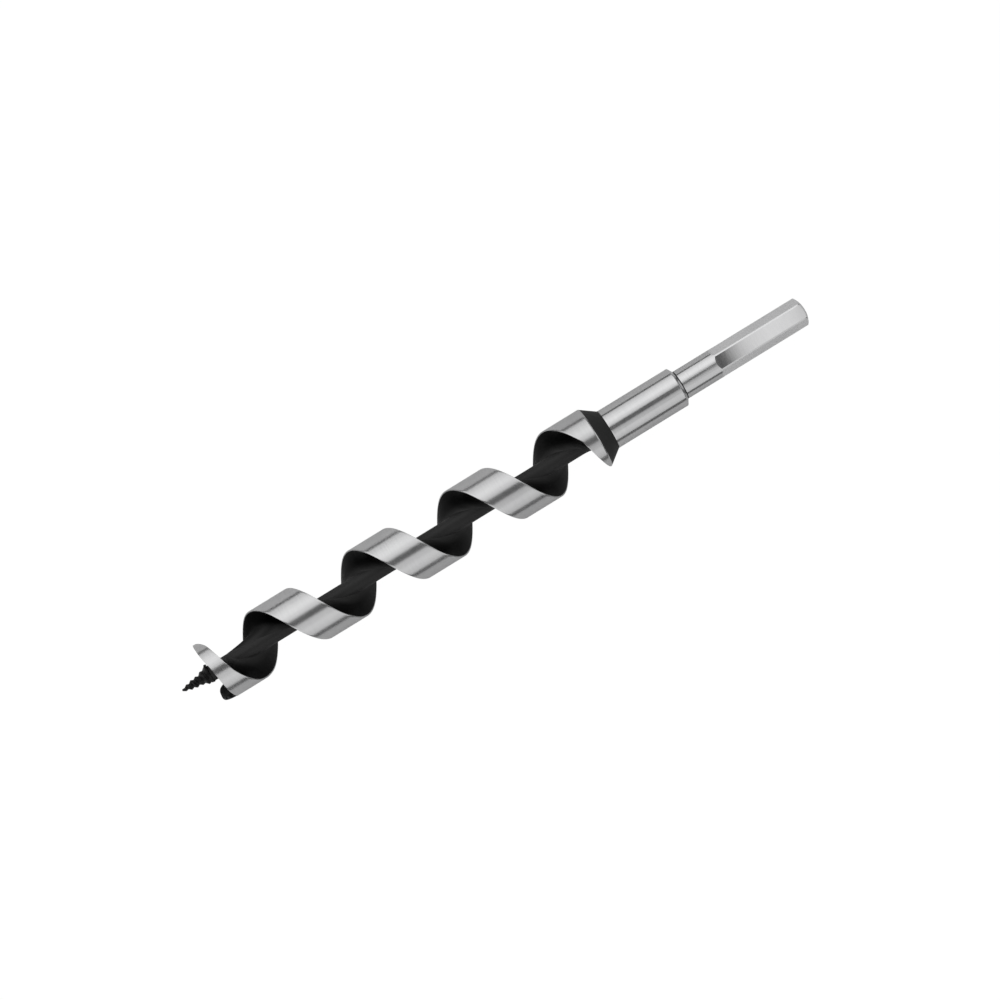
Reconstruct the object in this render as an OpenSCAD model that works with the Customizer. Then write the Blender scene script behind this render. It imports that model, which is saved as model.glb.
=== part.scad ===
// Ship auger bit: a single-twist wood auger on a solid centre, lying on its twist.
// The bit's axis is X. The lead screw points to -X, the shank to +X.
// X = 0 is the shoulder where the shank leaves the collar.
// Angles round the axis start at +Y and turn towards +Z. The twist is right-handed.

/* [Twist] */
// Diameter over the ground rim of the twist
twist_d = 20.64; // [20.2:0.02:21.2]
// Advance of the twist in one turn
pitch = 35.7; // [35.2:0.05:36.2]
// Width of the ground rim along the axis
land_w = 12.95; // [11.6:0.05:14]
// Diameter of the solid centre
core_d = 5.2; // [5.1:0.1:5.8]
// Fillet between the twist's faces and the centre
root_r = 2.6; // [2:0.1:2.8]

/* [Cutting head] */
// Distance from the shoulder to the outer corner of the lip
lip_x = 172.4; // [172:0.1:172.8]
// Fall of the relief behind the lip in one turn
relief_lead = 8.1; // [6:0.1:10]
// Angle at which the cutting edge stands
lip_angle = -10; // [-12:1:-6]
// Dish of the front face at the head, per mm towards the centre
lip_dish = 0.13; // [0.08:0.01:0.16]
// Height of the spur's point ahead of the lip's outer corner
spur_lead = 1.2; // [0.8:0.1:2]
// Thickness of the spur at its root
spur_t = 2.2; // [1.6:0.1:2.8]
// Angle of the spur's point
spur_angle = 217; // [214:1:222]

/* [Lead screw] */
// Length of the threaded point
screw_l = 10.1; // [9:0.1:12]
// Diameter of the thread at its base
screw_d = 5.7; // [5.2:0.1:6]
// Diameter over the thread half way along
screw_mid_d = 3.5; // [3:0.1:3.8]
// Pitch of the lead screw's thread
screw_pitch = 1.85; // [1.6:0.05:2.2]
// Depth of the lead screw's thread
screw_depth = 0.5; // [0.4:0.05:0.7]
// Diameter of the stem in the centre
stem_d = 3.4; // [3.2:0.1:3.4]
// Length of the stem
stem_l = 11; // [9:0.5:12]

/* [Collar] */
// Diameter of the collar
collar_d = 13.4; // [12.6:0.1:14]
// Length of the collar
collar_l = 26.5; // [26.1:0.1:26.9]
// Length of the cone that closes the twist in front of the collar
cone_l = 4.9; // [4.4:0.1:5.3]
// Length of the collar's sloped shoulder
shoulder_l = 0.85; // [0.7:0.05:1.6]

/* [Shank] */
// Diameter of the shank
shank_d = 9.8; // [9.5:0.05:10]
// Length of the shank outside the collar
shank_l = 45.9; // [42:0.1:50]
// Length of the round neck between the collar and the hexagon
neck_l = 12.6; // [12:0.1:15]
// Step from the neck down to the corners of the hexagon, in radius
neck_step = 0.155; // [0.155:0.005:0.2]
// Width across the flats of the hexagon
hex_af = 8.7; // [8.5:0.05:9]
// Turn of the hexagon about the axis
hex_roll = 3; // [-15:1:15]
// Radius at which the flats run out towards the neck
flat_runout_r = 0.8; // [0.7:0.1:3]
// Length of the crowned end of the shank
end_chamfer = 1.1; // [0.8:0.1:2]
// Diameter of the plain face left at the end of the shank
end_face_d = 5; // [2:0.5:6]

/* [Hidden] */

eps = 0.01;
R = twist_d / 2;
rc = core_d / 2;
rk = collar_d / 2;
rs = shank_d / 2;

// Axial places, all from the shoulder
core_x0 = -lip_x + 0.3;              // front end of the centre, under the lead screw
core_x1 = -collar_l;                 // where the centre's flare meets the collar
ring_x = -collar_l - cone_l;         // where the rim ends and the closing cone begins
flare_l = 11;                        // length of the flare at the rear of the centre
flare_x = core_x1 - flare_l;
spigot_l = 10;                       // centre's rear spigot in the collar
spigot_r = 2.4;
shank_spigot_l = 13;                 // shank's front spigot in the collar
shank_spigot_r = 3.2;
socket_r = stem_d / 2 + 0.05;        // socket for the lead screw's stem
socket_l = stem_l + 0.5;

// Angle step of the twist, and the angles at which its parts begin and end
step = 6;
inner = 1 / cos(step / 2);
split_a = 272;                       // joint between the cutting head and the flighting
tail_a = 1622;                       // where the rim has narrowed to nothing
end_a = 1664;                        // where the twist has run out into the collar

function lerp(a, b, t) = a + (b - a) * t;
function clamp01(t) = min(1, max(0, t));
function ease(t) = let (c = clamp01(t)) c * c * (3 - 2 * c);
function cyl(x, r, a) = [x, r * cos(a), r * sin(a)];

// Radius of the centre at x, with its flare into the collar
function core_r(x) = rc + (rk - rc) * pow(clamp01((x - flare_x) / flare_l), 2.2);

// The twist's front and rear edges at the rim, by unwrapped angle
front_x0 = 29.6 - lip_x;             // front edge at 450 degrees, one turn behind the relief
function helix_front(a) = front_x0 + pitch * (a - 450) / 360;
function helix_rear(a) = helix_front(a) + land_w;
// The relief's fall is not quite even: it dips behind the lip, swells past the middle and dips again under the spur
function relief(a) = -lip_x + relief_lead * a / 360
    - 0.22 * ease((75 - a) / 30) * ease((a + 5) / 35)
    + 0.3 * ease((a - 55) / 35) * (1 - ease((a - 105) / 35)) - 0.4 * ease((a - 165) / 20);
// Behind the lip the rear edge climbs more slowly than the rest of the twist, and it runs in to the lip's thin edge
function lip_rear(a) = max(relief(a) + 0.15,
    -lip_x + 8.05 + (a < 105 ? 0.0568 : 0.0795) * (a - 105) - 1.2 * ease((45 - a) / 45));
// Near the run-out the front edge climbs at about half the lead
slow_a = 1525;
function front_edge(a) =
    a < 400 ? max(relief(a), helix_front(a) - 0.6 * ease((400 - a) / 60))
    : a < slow_a ? helix_front(a)
    : helix_front(slow_a) + (ring_x - 0.15 - helix_front(slow_a)) * (a - slow_a) / (tail_a - slow_a);
function rear_edge(a) = lerp(lip_rear(a), helix_rear(a) - 0.8 * (1 - ease((a - 255) / 90)), ease((a - 150) / 60));

// The closing cone, and the rim's radius, which shrinks along it at the very end
function cone_x(r) = ring_x + (R - r) * cone_l / (R - rk);
function rim_r(a) = R - (R - rk - 0.45) * ease((a - tail_a) / (end_a - tail_a));
function rear_rim(a) = min(rear_edge(a), cone_x(rim_r(a)));
function front_rim(a) = a < tail_a ? min(front_edge(a), rear_rim(a) - 0.15) : rear_rim(a) - 0.15;
// Length and height of the front face's root: a longer scoop behind the head, and none at the run-out
function front_len(a) = root_r * ease((a - 150) / 70) * (1 - ease((a - 1580) / 60))
    + 10.8 * ease((a - 250) / 100) * (1 - ease((a - 370) / 100));
function front_high(a) = root_r + 0.3 * ease((a - 250) / 100) * (1 - ease((a - 370) / 100));
// Slope of the dished front face at the head, and of the rear face where the lip is thin
function dish(a) = lip_dish * (1 - ease((a - 110) / 60));
function back_dish(a) = lip_dish * (1 - ease(a / 20));
// How far the rear face has turned into the closing cone
function coned(a) = ease((a - 1385) / 55);

// One section of the twist at an angle, as [x, r] from the front root over the rim and back.
// Each face has a fillet at its foot, then a straight wall with one point as deep as the spur is thick.
steps = [0, 0.25, 0.55, 1];
function wall_r(rr, foot) = max(rr - spur_t, lerp(foot, rr, 0.3));
function section(a) =
    let (
        rr = rim_r(a),
        xf = front_rim(a), xr = rear_rim(a), b = coned(a),
        x0 = xf - front_len(a) + dish(a) * (rr - rc), r0 = core_r(x0) * inner + eps,
        h0 = min(front_high(a), 0.7 * (rr - r0)),
        x1 = min(lerp(xr + root_r + back_dish(a) * (rr - rc), core_x1, b), core_x1), r1 = core_r(x1) * inner + eps,
        h1 = min(root_r, 0.7 * (rr - r1)),
        wall1 = wall_r(rr, r1 + h1)
    )
    concat(
        [for (s = steps) let (r = r0 + h0 * s) [xf - front_len(a) * pow(1 - s, 2) + dish(a) * (rr - r), r]],
        [let (r = wall_r(rr, r0 + h0)) [xf + dish(a) * (rr - r), r], [xf, rr], [xr, rr]],
        [[lerp(xr + back_dish(a) * (rr - wall1), lerp(xr, x1, (rr - wall1) / (rr - r1)), b), wall1]],
        [for (i = [len(steps) - 1:-1:0])
            let (s = steps[i], r = r1 + h1 * s)
            [lerp(xr + root_r * pow(1 - s, 2) + back_dish(a) * (rr - r), lerp(xr, x1, (rr - r) / (rr - r1)), b), r]],
        [for (t = [0.25, 0.5, 0.75]) let (x = lerp(x1, x0, t)) [x, core_r(x) * inner + eps]]
    );

// A solid swept through sections that all have n points, closed by a cap of triangles at each end.
// flip splits the sides along their other diagonal, so that two solids can share a twisted face.
module sweep(sections, angles, n, cap, flip = false) {
    k = len(sections);
    points = [for (i = [0:k - 1]) for (p = sections[i]) cyl(p[0], p[1], angles[i])];
    sides = [for (i = [0:k - 2]) for (j = [0:n - 1])
        let (a = i * n + j, b = i * n + (j + 1) % n, c = b + n, d = a + n)
        each (flip ? [[a, b, d], [b, c, d]] : [[a, b, c], [a, c, d]])];
    first = [for (f = cap) [f[2], f[1], f[0]]];
    last = [for (f = cap) [for (v = f) v + (k - 1) * n]];
    polyhedron(points = points, faces = concat(first, sides, last), convexity = 10);
}

function angles_between(a0, a1) =
    let (n = ceil((a1 - a0) / step - 0.001)) [for (i = [0:n]) lerp(a0, a1, i / n)];

// A section's points run up the front face, over the rim, down the rear face and back along the centre.
// Its cap is a ladder of rungs between the two faces, and a fan over the foot.
sec_k = len(steps) + 1;
sec_n = 2 * sec_k + 5;
sec_cap = concat(
    [for (i = [1:sec_k - 1]) let (a = i, b = i + 1, c = 2 * sec_k - i, d = c + 1) each [[a, b, c], [a, c, d]]],
    [for (i = [2 * sec_k:sec_n - 2]) [1, i, i + 1]],
    [[1, sec_n - 1, 0]]);

module cutting_head() {
    angs = angles_between(lip_angle, split_a);
    color("#b8babc")
        sweep([for (a = angs) section(a)], angs, sec_n, sec_cap);
}

module flighting() {
    angs = angles_between(split_a, end_a);
    color("#a9abad")
        sweep([for (a = angs) section(a)], angs, sec_n, sec_cap);
}

// The spur stands on the front edge of the head. Its point is thinned from the inside.
spur_half = 31;
spur_x = -lip_x - spur_lead;
function spur_front(a) =
    let (t = min(0.995, abs(a - spur_angle) / spur_half), b = front_rim(a))
    b + (spur_x - b) * (1 - pow(t, a < spur_angle ? 3 : 4.2));
module scoring_spur() {
    angs = [for (a = angles_between(lip_angle, split_a)) if (abs(a - spur_angle) < spur_half + step / 2) a];
    color("#1d1e20")
        sweep([for (a = angs) let (b = front_rim(a) - eps, p = min(spur_front(a), b - 0.1))
            [[b, R - spur_t], [lerp(b, p, 0.9), R - 0.45 * spur_t], [p, R - 0.2], [p, R], [b, R]]],
            angs, 5, [for (i = [0:2]) [4, i, i + 1]], flip = true);
}

// Lead screw: a tapered point with a raised right-handed thread, on a plain stem
screw_x = core_x0 - screw_l;
screw_n = 24;
screw_rings = 54;
function ridge(f) = let (g = abs(f - 0.5) * 2) ease((1 - g) * 1.25);
// It swells quickly behind the tip, runs on slimly and flares again at the base
function screw_env(s) =
    lerp(0.45, screw_mid_d / 2, 1 - pow(1 - min(1, s / 0.55), 1.8))
    + (screw_d - screw_mid_d) / 2 * ease((s - 0.55) / 0.35);
function screw_rad(s, a) =
    let (e = screw_env(s), d = min(screw_depth, 0.42 * e) * (1 - 0.75 * ease((s - 0.86) / 0.06)),
         q = s * screw_l / screw_pitch - a / 360 - 0.42)
    e - d * (1 - ridge(q - floor(q)));
module lead_screw() {
    ss = [for (i = [0:screw_rings]) i / screw_rings];
    pts = concat(
        [[screw_x - 0.25, 0, 0]],
        [for (s = ss) for (j = [0:screw_n - 1])
            let (a = 360 * j / screw_n) cyl(screw_x + s * screw_l, screw_rad(s, a), a)],
        [[core_x0, 0, 0]]);
    tail = len(pts) - 1;
    faces = concat(
        [for (j = [0:screw_n - 1]) [0, 1 + j, 1 + (j + 1) % screw_n]],
        [for (i = [0:screw_rings - 1]) for (j = [0:screw_n - 1])
            let (a = 1 + i * screw_n + j, b = 1 + i * screw_n + (j + 1) % screw_n, c = b + screw_n, d = a + screw_n)
            each [[d, c, b], [d, b, a]]],
        [for (j = [0:screw_n - 1]) [1 + screw_rings * screw_n + (j + 1) % screw_n, 1 + screw_rings * screw_n + j, tail]]);
    color("#1b1c1e") {
        polyhedron(points = pts, faces = faces, convexity = 10);
        translate([core_x0 - 0.3, 0, 0]) rotate([0, 90, 0])
            cylinder(r = stem_d / 2, h = stem_l + 0.3, $fn = 48);
    }
}

// A round solid about X from a closed [x, r] outline
module turned(outline) {
    rotate([0, 90, 0]) rotate_extrude($fn = 96)
        polygon([for (p = outline) [p[1], p[0]]]);
}

module core_shaft() {
    color("#232426")
        turned(concat(
            [[core_x0 + socket_l, 0], [core_x0 + socket_l, socket_r], [core_x0, socket_r], [core_x0, rc]],
            [for (i = [0:12]) let (x = lerp(flare_x, core_x1, i / 12)) [x, core_r(x)]],
            [[core_x1, spigot_r], [core_x1 + spigot_l, spigot_r], [core_x1 + spigot_l, 0]]));
}

module collar() {
    mid = -shank_spigot_l - 1;
    color("#c4c6c8")
        turned([
            [core_x1, spigot_r + 0.02], [core_x1, rk], [-shoulder_l, rk], [0, rs + 0.03],
            [0, shank_spigot_r + 0.02], [mid, shank_spigot_r + 0.02],
            [mid, spigot_r + 0.02]]);
}

// The hexagon's corners are broken a little inside the neck's round, so that a chuck's jaws bear on the flats alone
rf = rs - neck_step;
flat_dist = hex_af / 2;
// One flat with its round run-out, as the solid that is cut away
module flat_cut() {
    run = neck_l + 0.3 + sqrt(pow(flat_runout_r, 2) - pow(flat_runout_r - (rf - flat_dist), 2));
    translate([run, -rs - 1, flat_dist])
        cube([shank_l, 2 * rs + 2, 2 * rs]);
    translate([run, rs + 1, flat_dist + flat_runout_r]) rotate([90, 0, 0])
        cylinder(r = flat_runout_r, h = 2 * rs + 2, $fn = 48);
}

// The end is crowned by a sphere on the axis that passes through the corners' end and the rim of the end face
crown_h = (pow(end_chamfer, 2) + pow(rf, 2) - pow(end_face_d / 2, 2)) / (2 * end_chamfer);
crown_r = sqrt(pow(crown_h, 2) + pow(end_face_d / 2, 2));
module shank() {
    color("#cfd1d3")
        difference() {
            turned([
                [-shank_spigot_l, 0], [-shank_spigot_l, shank_spigot_r - 0.4], [-shank_spigot_l + 0.4, shank_spigot_r],
                [0, shank_spigot_r], [0, rs], [neck_l, rs], [neck_l, rf],
                [shank_l, rf], [shank_l, 0]]);
            for (i = [0:5]) rotate([hex_roll + 60 * i, 0, 0]) flat_cut();
            difference() {
                translate([shank_l - end_chamfer - 0.2, 0, 0]) rotate([0, 90, 0])
                    cylinder(r = 2 * rs, h = end_chamfer + 2, $fn = 96);
                translate([shank_l - crown_h, 0, 0]) rotate([0, 90, 0]) sphere(r = crown_r, $fn = 128);
            }
        }
}

lead_screw();
cutting_head();
scoring_spur();
flighting();
core_shaft();
collar();
shank();
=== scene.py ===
import math

import bpy
import numpy as np
from mathutils import Matrix, Vector


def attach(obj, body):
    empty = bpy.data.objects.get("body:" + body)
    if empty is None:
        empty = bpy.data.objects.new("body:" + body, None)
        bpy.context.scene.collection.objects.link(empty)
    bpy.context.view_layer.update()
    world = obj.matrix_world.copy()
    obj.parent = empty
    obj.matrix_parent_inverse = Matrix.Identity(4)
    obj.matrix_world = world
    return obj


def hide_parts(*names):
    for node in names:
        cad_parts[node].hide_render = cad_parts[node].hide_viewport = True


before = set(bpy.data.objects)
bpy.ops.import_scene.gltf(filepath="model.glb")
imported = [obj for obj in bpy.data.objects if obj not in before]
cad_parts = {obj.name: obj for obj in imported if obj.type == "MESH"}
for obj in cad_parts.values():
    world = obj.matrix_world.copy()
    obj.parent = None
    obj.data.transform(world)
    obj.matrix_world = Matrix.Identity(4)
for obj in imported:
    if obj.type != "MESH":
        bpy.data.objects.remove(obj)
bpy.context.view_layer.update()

MM = 0.001
scene = bpy.context.scene


# ------------------------------------------------------------------ camera
# The bit's axis is X, the camera looks down on it from +Z with a slight tilt along the axis.
TILT = math.radians(2.05)
ROLL = math.radians(31.54)
TARGET = Vector((-66.95, -1.08, 0.0)) * MM
DIST = 683.6 * MM

along = Vector((math.cos(TILT), 0.0, math.sin(TILT)))
across = Vector((0.0, -1.0, 0.0))
back = Vector((-math.sin(TILT), 0.0, math.cos(TILT)))
right = along * math.cos(ROLL) + across * math.sin(ROLL)
up = along * math.sin(ROLL) - across * math.cos(ROLL)
cam_data = bpy.data.cameras.new("camera")
cam_data.lens = 78.55
cam_data.sensor_width = 36.0
cam_data.sensor_fit = "HORIZONTAL"
cam_data.clip_start = 0.01
cam_data.clip_end = 20.0
cam = bpy.data.objects.new("camera", cam_data)
scene.collection.objects.link(cam)
spot = TARGET + back * DIST
cam.matrix_world = Matrix((
    (right.x, up.x, back.x, spot.x),
    (right.y, up.y, back.y, spot.y),
    (right.z, up.z, back.z, spot.z),
    (0.0, 0.0, 0.0, 1.0)))
scene.camera = cam


# ------------------------------------------------------------------ shape of the bit, in mm
R, RC, RK, RS = 10.32, 2.6, 6.7, 4.9
PITCH, LAND, ROOT = 35.7, 12.95, 2.6
LIP_X, RELIEF, LIP_A, LIP_DISH = 172.4, 8.1, -10.0, 0.13
SPUR_LEAD, SPUR_T, SPUR_A, SPUR_HALF = 1.2, 2.2, 217.0, 31.0
SCREW_L, SCREW_D, SCREW_MID, SCREW_P, SCREW_H = 10.1, 5.7, 3.5, 1.85, 0.5
COLLAR_L, CONE_L, SHOULDER_L = 26.5, 4.9, 0.85
SHANK_L, NECK_L = 45.9, 12.9
CORE_X0, CORE_X1 = -LIP_X + 0.3, -COLLAR_L
RING_X = -COLLAR_L - CONE_L
FLARE_L = 11.0
FLARE_X = CORE_X1 - FLARE_L
SPLIT_A, SLOW_A, TAIL_A, END_A = 272.0, 1525.0, 1622.0, 1664.0
FRONT_X0 = 29.6 - LIP_X
SPUR_X = -LIP_X - SPUR_LEAD


def lerp(a, b, t):
    return a + (b - a) * t


def clamp01(t):
    return min(1.0, max(0.0, t))


def ease(t):
    c = clamp01(t)
    return c * c * (3 - 2 * c)


def core_r(x):
    return RC + (RK - RC) * clamp01((x - FLARE_X) / FLARE_L) ** 2.2


def helix_front(a):
    return FRONT_X0 + PITCH * (a - 450) / 360


def relief(a):
    return (-LIP_X + RELIEF * a / 360
            - 0.22 * ease((75 - a) / 30) * ease((a + 5) / 35)
            + 0.3 * ease((a - 55) / 35) * (1 - ease((a - 105) / 35)) - 0.4 * ease((a - 165) / 20))


def front_edge(a):
    if a < 400:
        return max(relief(a), helix_front(a) - 0.6 * ease((400 - a) / 60))
    if a < SLOW_A:
        return helix_front(a)
    h = helix_front(SLOW_A)
    return h + (RING_X - 0.15 - h) * (a - SLOW_A) / (TAIL_A - SLOW_A)


def rear_edge(a):
    lip = max(relief(a) + 0.15,
              -LIP_X + 8.05 + (0.0568 if a < 105 else 0.0795) * (a - 105) - 1.2 * ease((45 - a) / 45))
    return lerp(lip, helix_front(a) + LAND - 0.8 * (1 - ease((a - 255) / 90)), ease((a - 150) / 60))


def cone_x(r):
    return RING_X + (R - r) * CONE_L / (R - RK)


def rim_r(a):
    return R - (R - RK - 0.45) * ease((a - TAIL_A) / (END_A - TAIL_A))


def rear_rim(a):
    return min(rear_edge(a), cone_x(rim_r(a)))


def front_rim(a):
    return min(front_edge(a), rear_rim(a) - 0.15) if a < TAIL_A else rear_rim(a) - 0.15


def scoop(a):
    return ease((a - 250) / 100) * (1 - ease((a - 370) / 100))


def coned(a):
    return ease((a - 1385) / 55)


def dish(a):
    return LIP_DISH * (1 - ease((a - 110) / 60))


def back_dish(a):
    return LIP_DISH * (1 - ease(a / 20))


# ------------------------------------------------------------------ mesh helpers
def make_piece(name, verts, faces, zones, mats, body, node, sharp=32.0, uv=None, floats=None):
    """A closed mesh in the shared frame. zones gives each face's material, verts are in mm."""
    me = bpy.data.meshes.new(name)
    me.from_pydata((np.asarray(verts, float) * MM).tolist(), [], [list(map(int, f)) for f in faces])
    for m in mats:
        me.materials.append(m)
    me.polygons.foreach_set("material_index", np.asarray(zones, np.int32))
    me.polygons.foreach_set("use_smooth", np.ones(len(faces), bool))
    me.set_sharp_from_angle(angle=math.radians(sharp))
    if uv is not None:
        layer = me.uv_layers.new(name="flow")
        idx = np.zeros(len(me.loops), np.int32)
        me.loops.foreach_get("vertex_index", idx)
        layer.data.foreach_set("uv", np.asarray(uv, np.float32)[idx].ravel())
    for key, values in (floats or {}).items():
        at = me.attributes.new(key, "FLOAT", "POINT")
        at.data.foreach_set("value", np.asarray(values, np.float32))
    me.update()
    ob = bpy.data.objects.new(name, me)
    scene.collection.objects.link(ob)
    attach(ob, body)
    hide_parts(node)
    return ob


def ring_faces(k, n, first=0):
    """Quads between k rings of n points each, facing out when rings run to +X and points turn from +Y to +Z."""
    out = []
    for i in range(k - 1):
        for j in range(n):
            a = first + i * n + j
            b = first + i * n + (j + 1) % n
            out.append((a, b, b + n, a + n))
    return out


def lathe(profile, n):
    """A round solid about X. The profile runs from the axis at -X over the outside to the axis at +X."""
    verts, rings = [], []
    for x, r in profile:
        if r < 1e-6:
            rings.append((len(verts), 1))
            verts.append((x, 0.0, 0.0))
        else:
            rings.append((len(verts), n))
            for j in range(n):
                t = 2 * math.pi * j / n
                verts.append((x, r * math.cos(t), r * math.sin(t)))
    faces, owner = [], []
    for s, ((p, m), (q, l)) in enumerate(zip(rings, rings[1:])):
        for j in range(n):
            j1 = (j + 1) % n
            if m == 1 and l == 1:
                continue
            if m == 1:
                f = (p, q + j1, q + j)
            elif l == 1:
                f = (p + j, p + j1, q)
            else:
                f = (p + j, p + j1, q + j1, q + j)
            faces.append(f)
            owner.append(s)
    return verts, faces, owner


# ------------------------------------------------------------------ material helpers
class Nodes:
    def __init__(self, name):
        self.mat = bpy.data.materials.new(name)
        self.mat.use_nodes = True
        self.t = self.mat.node_tree
        self.bsdf = self.t.nodes["Principled BSDF"]

    def add(self, kind, **props):
        n = self.t.nodes.new(kind)
        for k, v in props.items():
            setattr(n, k, v)
        return n

    def link(self, a, b):
        self.t.links.new(a, b)

    def coords(self, source, scale, offset=(0, 0, 0)):
        c = self.add("ShaderNodeTexCoord")
        m = self.add("ShaderNodeMapping")
        m.inputs["Scale"].default_value = scale
        m.inputs["Location"].default_value = offset
        self.link(c.outputs[source], m.inputs["Vector"])
        return m.outputs["Vector"]

    def noise(self, vector, scale=1.0, detail=2.0, rough=0.5, distort=0.0):
        n = self.add("ShaderNodeTexNoise")
        n.inputs["Scale"].default_value = scale
        n.inputs["Detail"].default_value = detail
        n.inputs["Roughness"].default_value = rough
        n.inputs["Distortion"].default_value = distort
        self.link(vector, n.inputs["Vector"])
        return n.outputs["Fac"]

    def spread(self, value, lo, hi, to_lo, to_hi):
        m = self.add("ShaderNodeMapRange")
        m.inputs["From Min"].default_value = lo
        m.inputs["From Max"].default_value = hi
        m.inputs["To Min"].default_value = to_lo
        m.inputs["To Max"].default_value = to_hi
        self.link(value, m.inputs["Value"])
        return m.outputs["Result"]

    def math(self, op, a, b):
        m = self.add("ShaderNodeMath", operation=op)
        for i, v in enumerate((a, b)):
            if isinstance(v, (int, float)):
                m.inputs[i].default_value = v
            else:
                self.link(v, m.inputs[i])
        return m.outputs[0]

    def ramp(self, value, stops):
        r = self.add("ShaderNodeValToRGB")
        el = r.color_ramp.elements
        while len(el) < len(stops):
            el.new(0.5)
        for e, (p, c) in zip(el, stops):
            e.position = p
            e.color = (c[0], c[1], c[2], 1.0)
        self.link(value, r.inputs["Fac"])
        return r.outputs["Color"]

    def attr(self, name):
        return self.add("ShaderNodeAttribute", attribute_name=name).outputs["Fac"]

    def bump(self, height, strength, distance, normal=None):
        b = self.add("ShaderNodeBump")
        b.inputs["Strength"].default_value = strength
        b.inputs["Distance"].default_value = distance
        self.link(height, b.inputs["Height"])
        if normal is not None:
            self.link(normal, b.inputs["Normal"])
        return b.outputs["Normal"]

    def put(self, socket, value):
        s = self.bsdf.inputs[socket]
        if isinstance(value, bpy.types.NodeSocket):
            self.link(value, s)
        else:
            s.default_value = value


def ground_metal(name, grain, base, rough, bump_strength, bump_depth=0.00003, patch=140.0):
    """Bright ground steel. grain stretches the grinding lines along the way the wheel ran."""
    k = Nodes(name)
    lines = k.noise(k.coords("Object", grain), 1.0, 3.0, 0.62)
    broad = k.noise(k.coords("Object", (patch, patch, patch), (3.1, 1.7, 0.4)), 1.0, 3.0, 0.55, 0.4)
    shade = k.math("ADD", k.math("MULTIPLY", lines, 0.65), k.math("MULTIPLY", broad, 0.35))
    lo, hi = base
    k.put("Base Color", k.ramp(shade, [
        (0.28, (lo, lo, lo * 1.012)), (0.5, ((lo + hi) / 2, (lo + hi) / 2, (lo + hi) / 2 * 1.008)), (0.72, (hi, hi, hi * 1.004))]))
    k.put("Metallic", 1.0)
    k.put("Roughness", k.math("ADD", k.spread(lines, 0.3, 0.7, rough[0], lerp(rough[0], rough[1], 0.6)),
                              k.spread(broad, 0.3, 0.7, 0.0, 0.4 * (rough[1] - rough[0]))))
    k.put("Normal", k.bump(lines, bump_strength, bump_depth))
    return k.mat


def black_coat(name, coord, streak, lo, hi, rough, edge=None, gloss_and_painted_shading=0.26):
    """Satin black coating over forged steel, with faint streaks, fine grain and worn edges."""
    k = Nodes(name)
    flow = k.noise(k.coords(coord, streak), 1.0, 4.0, 0.6, 0.3)
    grain = k.noise(k.coords("Object", (2600, 2600, 2600)), 1.0, 2.0, 0.6)
    wave = k.noise(k.coords("Object", (170, 170, 170), (0.3, 2.0, 5.0)), 1.0, 2.0, 0.5, 0.5)
    tone = k.math("ADD", k.math("MULTIPLY", flow, 0.6), k.math("MULTIPLY", grain, 0.4))
    dark = k.ramp(tone, [(0.3, (lo, lo, lo * 1.05)), (0.7, (hi, hi, hi * 1.03))])
    roughness = k.math("ADD", k.spread(flow, 0.3, 0.7, rough[0], rough[1]), k.spread(grain, 0.3, 0.7, -0.03, 0.05))
    if edge:
        worn = k.math("MULTIPLY", k.attr(edge), k.spread(k.noise(k.coords("Object", (900, 900, 900)), 1.0, 3.0, 0.6), 0.42, 0.62, 0.0, 1.0))
        mix = k.add("ShaderNodeMix", data_type="RGBA")
        k.link(worn, mix.inputs["Factor"])
        k.link(dark, mix.inputs[6])
        mix.inputs[7].default_value = (0.16, 0.16, 0.165, 1.0)
        k.put("Base Color", mix.outputs[2])
        k.put("Metallic", k.math("MULTIPLY", worn, 0.8))
    else:
        k.put("Base Color", dark)
    k.put("Roughness", roughness)
    k.put("Specular IOR Level", gloss_and_painted_shading)
    n = k.bump(wave, 0.25, 0.00025)
    n = k.bump(flow, 0.12, 0.00006, n)
    k.put("Normal", k.bump(grain, 0.18, 0.00003, n))
    return k.mat


def dark_oxide(name, streak, rough, rise):
    """Dark oxide on the flute faces, with streaks along the flight, fine grain and worn edges.
    The faces are painted darker near the rim than at their foot: a painted shade and sheen set per point.
    rise is how much of the usual gloss is left at low angles."""
    k = Nodes(name)
    flow = k.noise(k.coords("UV", streak), 1.0, 4.0, 0.6, 0.3)
    grain = k.noise(k.coords("Object", (2600, 2600, 2600)), 1.0, 2.0, 0.6)
    wave = k.noise(k.coords("Object", (170, 170, 170), (0.3, 2.0, 5.0)), 1.0, 2.0, 0.5, 0.5)
    tone = k.math("ADD", k.math("MULTIPLY", flow, 0.6), k.math("MULTIPLY", grain, 0.4))
    worn = k.math("MULTIPLY", k.attr("wear"), k.spread(k.noise(k.coords("Object", (900, 900, 900)), 1.0, 3.0, 0.6), 0.42, 0.62, 0.0, 1.0))
    mix = k.add("ShaderNodeMix", data_type="RGBA")
    k.link(worn, mix.inputs["Factor"])
    # the base colour is scaled by the per-point painted shade and sheen map
    k.link(k.math("MULTIPLY", k.attr("gloss_and_painted_shading"), k.spread(tone, 0.3, 0.7, 0.072, 0.092)), mix.inputs[6])
    mix.inputs[7].default_value = (0.16, 0.16, 0.165, 1.0)
    k.put("Base Color", mix.outputs[2])
    k.put("Metallic", 1.0)
    k.put("Specular Tint", (rise, rise, rise, 1.0))
    roughness = k.math("ADD", k.spread(flow, 0.3, 0.7, rough[0], rough[1]), k.spread(grain, 0.3, 0.7, -0.03, 0.05))
    k.put("Roughness", k.math("ADD", roughness, k.math("MULTIPLY", k.attr("gloss_and_painted_shading"), 0.3)))
    n = k.bump(wave, 0.25, 0.00025)
    n = k.bump(flow, 0.12, 0.00006, n)
    k.put("Normal", k.bump(grain, 0.18, 0.00003, n))
    return k.mat


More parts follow.
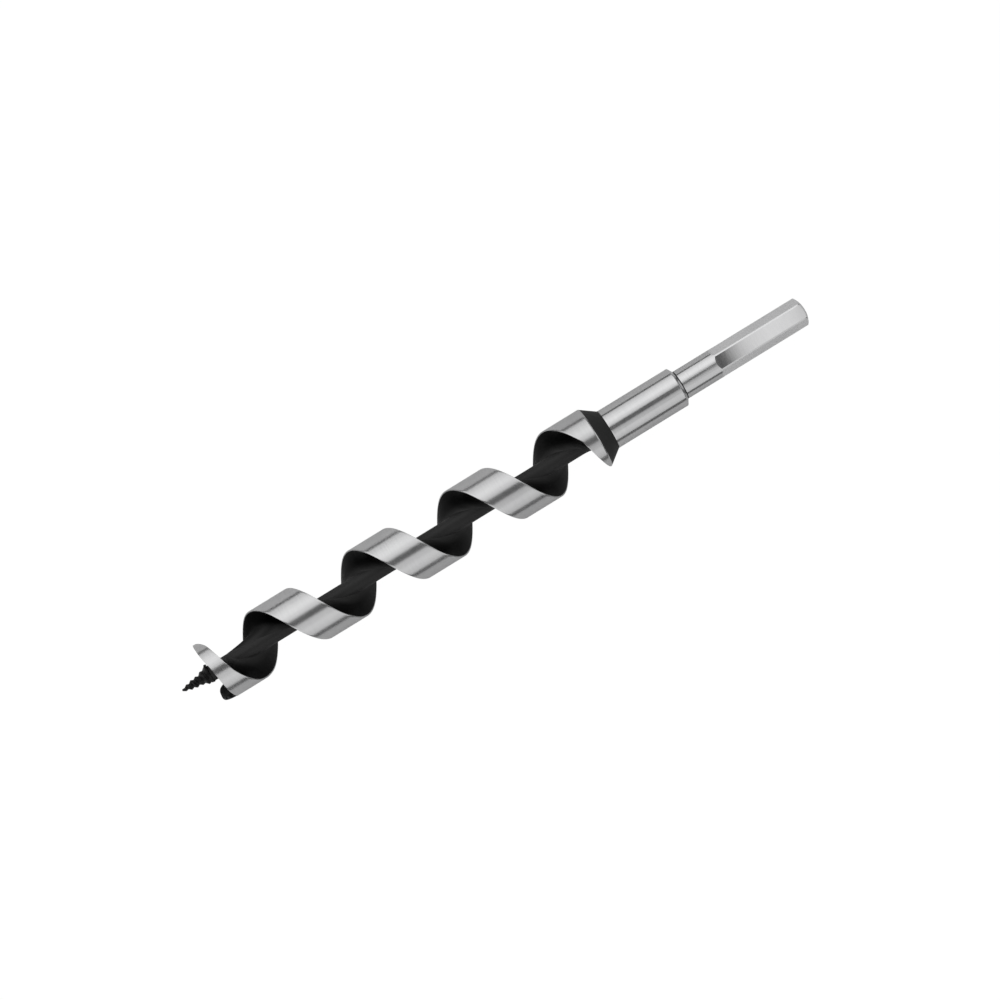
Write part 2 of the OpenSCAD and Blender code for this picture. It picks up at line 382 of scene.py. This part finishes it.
steel_rim = ground_metal("ground_rim", (5200, 90, 90), (0.515, 0.60), (0.17, 0.26), 0.10)
steel_round = ground_metal("ground_round", (6000, 70, 70), (0.555, 0.64), (0.13, 0.20), 0.10)
steel_flat = ground_metal("ground_flat", (1500, 260, 260), (0.74, 0.82), (0.04, 0.055), 0.02)
coat_flute = dark_oxide("black_flute", (14, 120, 1), (0.34, 0.42), 0.86)
# a duller copy of the flute coat, as painted shade on the front face of the first turn
coat_first_painted_shade = dark_oxide("black_first_turn_painted_shade", (14, 120, 1), (0.34, 0.42), 0.56)
coat_core = black_coat("black_core", "Object", (40, 160, 160), 0.0020, 0.0050, (0.54, 0.60), None, 0.50)
coat_spur = black_coat("black_spur", "Object", (700, 700, 700), 0.0008, 0.0024, (0.46, 0.56), "wear", 0.08)
coat_point = black_coat("black_point", "Object", (700, 700, 700), 0.0012, 0.0032, (0.36, 0.46), "wear", 0.28)


# ------------------------------------------------------------------ twist: cutting head and flighting
FILLET = [0.0, 0.03, 0.08, 0.16, 0.27, 0.41, 0.58, 0.78, 1.0]
WALL = [0.2, 0.4, 0.6, 0.78, 0.91]
RIM = [0.0, 0.04, 0.2, 0.4, 0.6, 0.8, 0.96, 1.0]
FOOT = [0.12, 0.3, 0.5, 0.7, 0.88]


def section(a):
    """Section of the twist at an angle: lists of x, r and of the zone that starts at each point."""
    rr = rim_r(a)
    xf, xr, b = front_rim(a), rear_rim(a), coned(a)
    w = scoop(a)
    bev = min(0.13, 0.3 * (xr - xf))
    root = ROOT
    k0, k1 = dish(a), back_dish(a)
    len0 = root * ease((a - 150) / 70) * (1 - ease((a - 1580) / 60)) + 10.8 * w
    x0 = xf - len0 + k0 * (rr - RC)
    r0 = core_r(x0) - 0.05
    h0 = min(root + 0.3 * w, 0.7 * (rr - r0))
    x1 = min(lerp(xr + root + k1 * (rr - RC), CORE_X1, b), CORE_X1)
    r1 = lerp(core_r(x1) - 0.05, RK - 0.02, b)
    h1 = min(root, 0.7 * (rr - r1))

    def foot(s, round_off):
        return lerp(1 - math.sqrt(max(0.0, 2 * s - s * s)), (1 - s) ** 2, round_off)

    pts = []
    for s in FILLET:
        r = r0 + h0 * s
        pts.append((xf - len0 * foot(s, 0.65 * w) + k0 * (rr - r), r, 0))
    top = r0 + h0
    # the grinding leaves a narrow bare strip on each face next to the rim
    bare = rr - bev - min(0.28, 0.25 * (rr - bev - top))
    for t in WALL:
        r = lerp(top, bare, t)
        pts.append((xf + k0 * (rr - r), r, 0))
    pts.append((xf + k0 * (rr - bare), bare, 1))
    pts.append((xf + k0 * bev, rr - bev, 1))
    pts.append((xf + 0.3 * bev, rr - 0.3 * bev, 1))
    for t in RIM:
        pts.append((lerp(xf + bev, xr - bev, t), rr, 1))
    pts[-1] = pts[-1][:2] + (1,)
    pts.append((xr - 0.3 * bev, rr - 0.3 * bev, 1))

    def rear(r):
        s = clamp01((r - r1) / h1)
        straight = lerp(xr, x1, (rr - r) / (rr - r1))
        return lerp(xr + root * foot(s, 0.0) + k1 * (rr - r), straight, b)

    pts.append((rear(rr - bev), rr - bev, 1))
    top = r1 + h1
    bare = rr - bev - min(0.28 * (1 - b) + 0.02, 0.25 * (rr - bev - top))
    pts.append((rear(bare), bare, 0))
    for t in WALL[::-1]:
        r = lerp(top, bare, t)
        pts.append((rear(r), r, 0))
    for s in FILLET[::-1]:
        r = r1 + h1 * s
        pts.append((rear(r), r, 0))
    for t in FOOT:
        x = lerp(x1, x0, t)
        pts.append((x, core_r(x) - 0.3, 0))
    return pts


def twist(name, a0, a1, step, body, node):
    k = int(round((a1 - a0) / step)) + 1
    verts, uv, wear, gloss_and_painted_shading, zone_rows = [], [], [], [], []
    for i in range(k):
        a = lerp(a0, a1, i / (k - 1))
        pts = section(a)
        rear0 = len(FILLET) + len(WALL) + 3 + len(RIM)
        c, s = math.cos(math.radians(a)), math.sin(math.radians(a))
        run, last = 0.0, None
        rr = rim_r(a)
        for j, (x, r, z) in enumerate(pts):
            if last is not None:
                run += math.hypot(x - last[0], r - last[1])
            last = (x, r)
            verts.append((x, r * c, r * s))
            uv.append((math.radians(a) * R * 0.001 * 10, run * 0.001 * 10))
            wear.append(max(0.0, 1 - (rr - r) / 0.55) if r < rr - 1e-6 else 1.0)
            # painted shade and sheen per point: darker near the rim, lighter towards the foot, front faces darker
            # than rear faces, and the rear faces on the cone lighter still
            d = (R - r) / (R - RC)
            # painted shade: the first turn, next to the cutting lip, is made the darkest
            late = ease((a - 420) / 100)
            # and a painted sheen makes the far side of each turn a little lighter than the near side
            far_side_painted_sheen = ease((a % 360 - 195) / 45) * (1 - ease((a % 360 - 285) / 40))
            if j >= rear0:
                gloss = lerp(0.12 + 0.36 * d, 0.15 + 0.36 * d, late) * (1 + lerp(0.6, 1.5, late) * far_side_painted_sheen * (1 - d))
                gloss_and_painted_shading.append(max(gloss, 0.74 * coned(a)))
            else:
                gloss_and_painted_shading.append(lerp(0.03 + 0.42 * d ** 2.6, 0.08 + 0.42 * d ** 2.0, late))
        # painted shade: the front face of the first turn takes the duller copy of the coat
        zone_rows.append([2 if z == 0 and a < 455 and j < rear0 else z for j, (x, r, z) in enumerate(pts)])
    n = len(zone_rows[0])
    faces = [f[::-1] for f in ring_faces(k, n)]
    # the points of a section turn the other way round than a lathe's ring
    zones = [zone_rows[i][j] for i in range(k - 1) for j in range(n)]
    first = tuple(range(n))
    last = tuple(range((k - 1) * n, k * n))
    faces += [first, last[::-1]]
    zones += [0, 0]
    return make_piece(name, verts, faces, zones, [coat_flute, steel_rim, coat_first_painted_shade], body, node, 34.0, uv, {"wear": wear, "gloss_and_painted_shading": gloss_and_painted_shading})


twist("head_twist", LIP_A, SPLIT_A, 1.5, "bit_body", "cutting_head")
twist("flight_twist", SPLIT_A, END_A, 1.5, "bit_body", "flighting")


# ------------------------------------------------------------------ scoring spur
def spur():
    k = 61
    verts, wear, zones = [], [], []
    for i in range(k):
        a = lerp(SPUR_A - SPUR_HALF, SPUR_A + SPUR_HALF, i / (k - 1))
        t = min(0.995, abs(a - SPUR_A) / SPUR_HALF)
        b = front_rim(a)
        p = min(b + (SPUR_X - b) * (1 - t ** (3.0 if a < SPUR_A else 4.2)), b - 0.08)
        d = b - p
        e = min(0.16, 0.3 * d)
        foot = b + 0.05
        thin = SPUR_T
        pts = [
            (foot, R - thin), (b - 0.15 * d, R - 0.98 * thin), (b - 0.4 * d, R - 0.86 * thin),
            (b - 0.62 * d, R - 0.72 * thin), (b - 0.8 * d, R - 0.58 * thin), (p + 1.1 * e, R - 0.46 * thin),
            (p + 0.35 * e, R - 0.36 * thin), (p, R - 0.25 * thin), (p, R - 0.11 * thin), (p + 0.25 * e, R - 0.03 * thin),
            (p + e, R - 0.01), (b - 0.5 * d, R - 0.01), (foot, R - 0.01)]
        c, s = math.cos(math.radians(a)), math.sin(math.radians(a))
        for x, r in pts:
            verts.append((x, r * c, r * s))
            wear.append(max(0.0, 1 - (x - p) / 0.35) * 0.6)
    n = len(pts)
    faces = [f[::-1] for f in ring_faces(k, n)]
    for i in range(k - 1):
        zones += [1 if j in (10, 11) else 0 for j in range(n)]
    faces += [tuple(range(n)), tuple(range((k - 1) * n, k * n))[::-1]]
    zones += [0, 0]
    make_piece("spur_tooth", verts, faces, zones, [coat_spur, steel_rim], "bit_body", "scoring_spur", 40.0,
               None, {"wear": wear})


spur()


# ------------------------------------------------------------------ centre
core_profile = [(CORE_X0 + 11.5, 0.0), (CORE_X0 + 11.5, 1.5), (CORE_X0 + 11.3, 1.74), (CORE_X0 + 0.25, 1.74), (CORE_X0, 1.95),
                (CORE_X0, RC - 0.1), (CORE_X0 + 0.1, RC)]
for i in range(1, 40):
    core_profile.append((lerp(CORE_X0 + 0.1, FLARE_X, i / 40), RC))
for i in range(0, 37):
    x = lerp(FLARE_X, CORE_X1 - 0.02, i / 36)
    core_profile.append((x, core_r(x)))
core_profile += [(CORE_X1 - 0.02, 2.38), (CORE_X1 + 10, 2.38), (CORE_X1 + 10, 0.0)]
v, f, o = lathe(core_profile, 96)
make_piece("centre_rod", v, f, [0] * len(f), [coat_core], "bit_body", "core_shaft")


# ------------------------------------------------------------------ collar
# the black of the cone laps over its front edge
collar_profile = [(CORE_X1 + 13, 2.42), (CORE_X1, 2.42), (CORE_X1, RK - 0.1), (CORE_X1 + 0.03, RK - 0.03), (CORE_X1 + 0.1, RK)]
BLACK_LAP = len(collar_profile) - 1
for i in range(0, 20):
    collar_profile.append((lerp(CORE_X1 + 0.45, -SHOULDER_L - 0.2, i / 20), RK))
collar_profile += [(-SHOULDER_L - 0.2, RK), (-SHOULDER_L - 0.15, RK), (-SHOULDER_L - 0.04, RK - 0.03), (-SHOULDER_L + 0.06, RK - 0.12)]
for i in range(1, 6):
    t = i / 6
    collar_profile.append((lerp(-SHOULDER_L + 0.06, 0.11, t), lerp(RK - 0.12, RS + 0.12, t)))
collar_profile += [(0.11, RS + 0.12), (0.15, RS + 0.07), (0.13, RS + 0.04), (-0.5, RS + 0.03), (-0.5, 3.22), (CORE_X1 + 13, 3.22)]


def tube(profile, n):
    """A round ring about X from a closed outline."""
    verts = []
    for x, r in profile:
        for j in range(n):
            t = 2 * math.pi * j / n
            verts.append((x, r * math.cos(t), r * math.sin(t)))
    m = len(profile)
    faces = []
    for i in range(m):
        i1 = (i + 1) % m
        for j in range(n):
            j1 = (j + 1) % n
            faces.append((i * n + j, i * n + j1, i1 * n + j1, i1 * n + j))
    return verts, faces


v, f = tube(collar_profile, 144)
make_piece("collar_sleeve", v, f, [1 if i < BLACK_LAP * 144 else 0 for i in range(len(f))], [steel_round, coat_core],
           "bit_body", "collar")


# ------------------------------------------------------------------ shank
# a hexagon ground on the round bar, with narrow broken corners and a crowned end
FLAT_D, R_HEX, HEX_ROLL, RUN_OUT = 4.35, 4.87, 3.0, 0.76
CROWN_L, END_R = 1.1, 2.5
CROWN_H = (CROWN_L ** 2 + R_HEX ** 2 - END_R ** 2) / (2 * CROWN_L)
CROWN_R = math.hypot(CROWN_H, END_R)


def flat_d(x):
    """Distance of each flat from the axis, with its short sloped wall at the neck."""
    if x < NECK_L:
        return 99.0
    return FLAT_D + (RS - FLAT_D) * max(0.0, 1 - (x - NECK_L) / RUN_OUT)


def shank():
    xs = [-13.0, -13.0, -12.6, -0.5, -0.45, 0.24, 0.27, 0.31, 0.35, 0.40, 0.45]
    rs = [0.0, 2.8, 3.2, 3.2, RS - 0.25, RS - 0.25, RS - 0.2, RS - 0.05, RS - 0.012, RS, RS]
    for i in range(1, 26):
        xs.append(lerp(0.45, NECK_L - 0.02, i / 26))
        rs.append(RS)
    fine = np.concatenate([np.linspace(NECK_L - 0.02, NECK_L + 1.2, 62), np.linspace(NECK_L + 1.3, NECK_L + 4, 12),
                           np.linspace(NECK_L + 5, SHANK_L - CROWN_L - 0.06, 24)])
    for x in fine:
        xs.append(float(x))
        rs.append(lerp(RS, R_HEX, ease((x - NECK_L - 0.5) / 0.7)))
    for i in range(0, 29):
        r = lerp(R_HEX - 0.01, END_R + 0.05, (i / 28) ** 0.9)
        xs.append(SHANK_L - CROWN_H + math.sqrt(CROWN_R ** 2 - r ** 2))
        rs.append(r)
    xs += [SHANK_L - 0.01, SHANK_L, SHANK_L]
    rs += [END_R, END_R - 0.08, 0.0]
    nf, nr = 14, 6
    verts, rings = [], []
    n = 6 * (nf + nr)
    for x, r in zip(xs, rs):
        if r == 0.0:
            rings.append((len(verts), 1))
            verts.append((x, 0.0, 0.0))
            continue
        d = flat_d(x)
        half = math.degrees(math.acos(d / r)) if d < r else 0.0
        cut = half > 1.0
        half = min(max(half, 1.0), 29.6)
        rings.append((len(verts), n))
        for q in range(6):
            mid = 90.0 + HEX_ROLL + 60.0 * q
            for j in range(nf + nr):
                if j <= nf:
                    if cut:
                        th = math.degrees(math.atan(math.tan(math.radians(half)) * lerp(-1, 1, j / nf)))
                        rad = d / math.cos(math.radians(th))
                    else:
                        th = lerp(-half, half, j / nf)
                        rad = r
                else:
                    th = lerp(half, 60 - half, (j - nf) / nr)
                    rad = r
                t = math.radians(mid + th)
                verts.append((x, rad * math.cos(t), rad * math.sin(t)))
    faces, zones = [], []
    for i, ((p, m), (q, l)) in enumerate(zip(rings, rings[1:])):
        for j in range(n):
            j1 = (j + 1) % n
            if m == 1:
                face = (p, q + j1, q + j)
            elif l == 1:
                face = (p + j, p + j1, q)
            else:
                face = (p + j, p + j1, q + j1, q + j)
            faces.append(face)
            on_flat = (j % (nf + nr)) < nf and NECK_L < xs[i] and min(flat_d(xs[i]), flat_d(xs[i + 1])) < min(rs[i], rs[i + 1])
            # the faces in the groove at the shoulder take the black coat: painted shade in the real gap between
            # collar and shank
            groove_painted_shade = -0.5 < xs[i] and xs[i + 1] < 0.41
            zones.append(1 if on_flat else 2 if groove_painted_shade else 0)
    make_piece("drive_shank", verts, faces, zones, [steel_round, steel_flat, coat_core], "bit_body", "shank", 14.0)


shank()


# ------------------------------------------------------------------ lead screw
def lead_screw():
    n, k = 96, 260
    x0 = CORE_X0 - SCREW_L
    verts = [(x0 - 0.25, 0.0, 0.0)]
    wear = [0.3]

    def env(s):
        swell = 1 - (1 - min(1.0, s / 0.55)) ** 1.8
        return lerp(0.45, SCREW_MID / 2, swell) + (SCREW_D - SCREW_MID) / 2 * ease((s - 0.55) / 0.35)

    rings = 0
    for i in range(k):
        s = i / (k - 1)
        e = env(s)
        depth = min(SCREW_H, 0.42 * e) * (1 - 0.75 * ease((s - 0.86) / 0.06))
        horn = 0.7 * ease((s - 0.90) / 0.05)
        for j in range(n):
            a = j / n
            q = s * SCREW_L / SCREW_P - a - 0.42
            g = abs((q % 1.0) - 0.5) * 2
            crest = max(0.0, 1 - g * 1.15)
            crest = crest ** 0.9
            t = 2 * math.pi * a
            # the last turn runs out into the lip
            r = e - depth * (1 - crest) + horn * (0.5 + 0.5 * math.cos(t - 0.35)) ** 3
            verts.append((x0 + s * SCREW_L, r * math.cos(t), r * math.sin(t)))
            wear.append(0.3 * max(0.0, (crest - 0.8) / 0.2) * (1 - ease((s - 0.8) / 0.1)))
        rings += 1
    stem = [(CORE_X0 - 0.01, 1.9), (CORE_X0 - 0.01, 1.42), (CORE_X0 + 0.5, 1.42)]
    m = 150
    length = 10.6
    for x, r in stem:
        for j in range(n):
            t = 2 * math.pi * j / n
            verts.append((x, r * math.cos(t), r * math.sin(t)))
            wear.append(0.0)
        rings += 1
    for i in range(1, m + 1):
        s = i / m
        x = CORE_X0 + 0.5 + s * (length - 0.5)
        fade = ease(s / 0.05) * (1 - ease((s - 0.94) / 0.06))
        for j in range(n):
            q = (x - CORE_X0) / 0.7 - j / n
            g = abs((q % 1.0) - 0.5) * 2
            r = 1.40 + fade * 0.28 * (1 - g) - 0.25 * ease((s - 0.95) / 0.05)
            t = 2 * math.pi * j / n
            verts.append((x, r * math.cos(t), r * math.sin(t)))
            wear.append(0.35 * fade * max(0.0, (1 - g) - 0.7) / 0.3)
        rings += 1
    end = len(verts)
    verts.append((CORE_X0 + length, 0.0, 0.0))
    wear.append(0.0)
    faces = [(0, 1 + j, 1 + (j + 1) % n)[::-1] for j in range(n)]
    faces += ring_faces(rings, n, 1)
    base = 1 + (rings - 1) * n
    faces += [(base + j, base + (j + 1) % n, end) for j in range(n)]
    make_piece("point_screw", verts, faces, [0] * len(faces), [coat_point], "screw_point", "lead_screw", 46.0,
               None, {"wear": wear})


lead_screw()


# ------------------------------------------------------------------ floor and light
FLOOR_Z = -R * MM


def sheet_plane(name, x0, x1, y0, y1, z):
    me = bpy.data.meshes.new(name)
    me.from_pydata([(x0, y0, z), (x1, y0, z), (x1, y1, z), (x0, y1, z)], [], [(0, 1, 2, 3)])
    ob = bpy.data.objects.new(name, me)
    scene.collection.objects.link(ob)
    return ob


# the floor that is seen
floor = sheet_plane("floor", -6, 6, -6, 6, FLOOR_Z - 0.0002)
k = Nodes("floor_white")
tint = k.noise(k.coords("Object", (3, 3, 3)), 1.0, 2.0, 0.5)
k.put("Base Color", k.ramp(tint, [(0.3, (0.11, 0.11, 0.11)), (0.7, (0.13, 0.13, 0.13))]))
k.put("Roughness", 0.9)
k.put("Specular IOR Level", 0.0)
k.put("Emission Color", (1.0, 1.0, 1.0, 1.0))
k.put("Emission Strength", 0.97)
floor.data.materials.append(k.mat)
floor.visible_glossy = False
floor.visible_diffuse = False

# grey cards under the bit, which only its reflections see
for side, reach, grey in (("left", 0.3, 0.95), ("right", -0.17, 0.89)):
    card = sheet_plane("under_card_" + side, -1.0, 1.0, min(0.0, reach), max(0.0, reach), FLOOR_Z - 0.0001)
    k = Nodes("card_" + side)
    tint = k.noise(k.coords("Object", (4, 4, 4)), 1.0, 2.0, 0.5)
    k.put("Base Color", k.ramp(tint, [(0.3, (grey - 0.02,) * 3), (0.7, (grey + 0.02,) * 3)]))
    k.put("Roughness", 0.9)
    k.put("Specular IOR Level", 0.0)
    card.data.materials.append(k.mat)
    card.visible_camera = False
    card.visible_shadow = False


def panel(name, p, q, x0, x1, radiance):
    """A long soft panel parallel to the bit, between two lines at (y, z) = p and q in mm."""
    p, q = Vector((0, p[0], p[1])) * MM, Vector((0, q[0], q[1])) * MM
    d = (q - p).normalized()
    z = Vector((1, 0, 0)).cross(d)
    mid = (p + q) / 2
    if mid.dot(z) < 0:
        d, z = -d, -z
    wide, high = (x1 - x0) * MM, (q - p).length
    la = bpy.data.lights.new(name, "AREA")
    la.shape = "RECTANGLE"
    la.size, la.size_y = wide, high
    la.energy = radiance * math.pi * wide * high
    ob = bpy.data.objects.new(name, la)
    scene.collection.objects.link(ob)
    ob.matrix_world = Matrix((
        (1, d.x, z.x, (x0 + x1) / 2 * MM),
        (0, d.y, z.y, mid.y),
        (0, d.z, z.z, mid.z),
        (0, 0, 0, 1)))
    ob.visible_camera = False
    return ob


# two rows of strips stand round the bit on a wide arc: angle from overhead, then brightness
# over the twist, over the collar and over the neck
REACH, LEAN = 700.0, 1.9
SPANS = [(-800, -40), (-40, 92), (92, 260)]
left_rows = [(6, 14, (0.81, 0.72, 0.62)), (14, 25, (0.96, 0.87, 1.04)), (25, 45, (1.12, 1.05, 1.17)),
             (45, 58, (1.02, 0.94, 1.12)), (58, 70, (0.82, 0.80, 0.97)), (70, 79, (0.76, 0.68, 0.80))]
right_rows = [(17, 25, (0.72, 0.44, 0.41)), (25, 40, (0.74, 0.54, 0.62)), (40, 58, (0.86, 0.74, 0.70)),
              (58, 70, (0.765, 0.66, 0.725)), (70, 80, (0.70, 0.575, 0.70))]
for side, rows in ((1, left_rows), (-1, right_rows)):
    for i, (t0, t1, lights) in enumerate(rows):
        ends = [(side * REACH * math.sin(math.radians(t)), REACH * math.cos(math.radians(t))) for t in (t0 + side * LEAN, t1 + side * LEAN)]
        for j, ((xa, xb), light) in enumerate(zip(SPANS, lights)):
            panel("panel_%s_%d_%d" % ("left" if side > 0 else "right", i, j), ends[0], ends[1], xa, xb, light)


def end_panel(name, side, lo, hi, half, radiance):
    """A soft panel square to the bit beyond one end, between two heights in degrees, for the reflections only."""
    mid = math.radians((lo + hi) / 2)
    wide, high = 2 * half * MM, REACH * math.radians(hi - lo) * MM
    la = bpy.data.lights.new(name, "AREA")
    la.shape = "RECTANGLE"
    la.size, la.size_y = wide, high
    la.energy = radiance * math.pi * wide * high
    ob = bpy.data.objects.new(name, la)
    scene.collection.objects.link(ob)
    c, s = math.cos(mid), math.sin(mid)
    ob.matrix_world = Matrix((
        (0, -side * s, side * c, TARGET.x + side * REACH * MM * c),
        (side, 0, 0, 0),
        (0, c, s, REACH * MM * s),
        (0, 0, 0, 1)))
    ob.visible_camera = False
    ob.visible_diffuse = False
    return ob


end_panel("panel_end_shank", 1, 26, 44, 900, 0.75)

# the gap between the rows is closed over the shank by a sheet that grows brighter along the bit
bridge = bpy.data.meshes.new("bridge")
bridge.from_pydata([(0.119, 0.073, 0.696), (0.52, 0.073, 0.696), (0.52, -0.205, 0.669), (0.119, -0.205, 0.669)], [], [(0, 1, 2, 3)])
bridge_ob = bpy.data.objects.new("bridge", bridge)
scene.collection.objects.link(bridge_ob)
k = Nodes("bridge_glow")
place = k.add("ShaderNodeSeparateXYZ")
k.link(k.coords("Object", (1, 1, 1)), place.inputs["Vector"])
BRIDGE = [(119, 0.065), (122.8, 0.09), (125.4, 0.20), (128.9, 0.41), (132.4, 0.53), (137.9, 0.70), (144.4, 0.785), (157, 0.84), (175, 0.80), (184, 0.62), (200, 0.5)]
k.put("Emission Color", k.ramp(k.spread(place.outputs["X"], 0.119, 0.2, 0.0, 1.0), [((x - 119) / 81, (g, g, g)) for x, g in BRIDGE]))
k.put("Emission Strength", 1.0)
k.put("Base Color", (0.0, 0.0, 0.0, 1.0))
k.put("Specular IOR Level", 0.0)
bridge.materials.append(k.mat)
bridge_ob.visible_camera = False
bridge_ob.visible_shadow = False

world = bpy.data.worlds.new("studio")
world.use_nodes = True
world.node_tree.nodes["Background"].inputs["Color"].default_value = (0.14, 0.14, 0.14, 1.0)
world.node_tree.nodes["Background"].inputs["Strength"].default_value = 1.0
scene.world = world
scene.view_settings.view_transform = "Standard"
scene.view_settings.look = "None"
scene.view_settings.exposure = 0.0
scene.view_settings.gamma = 1.0
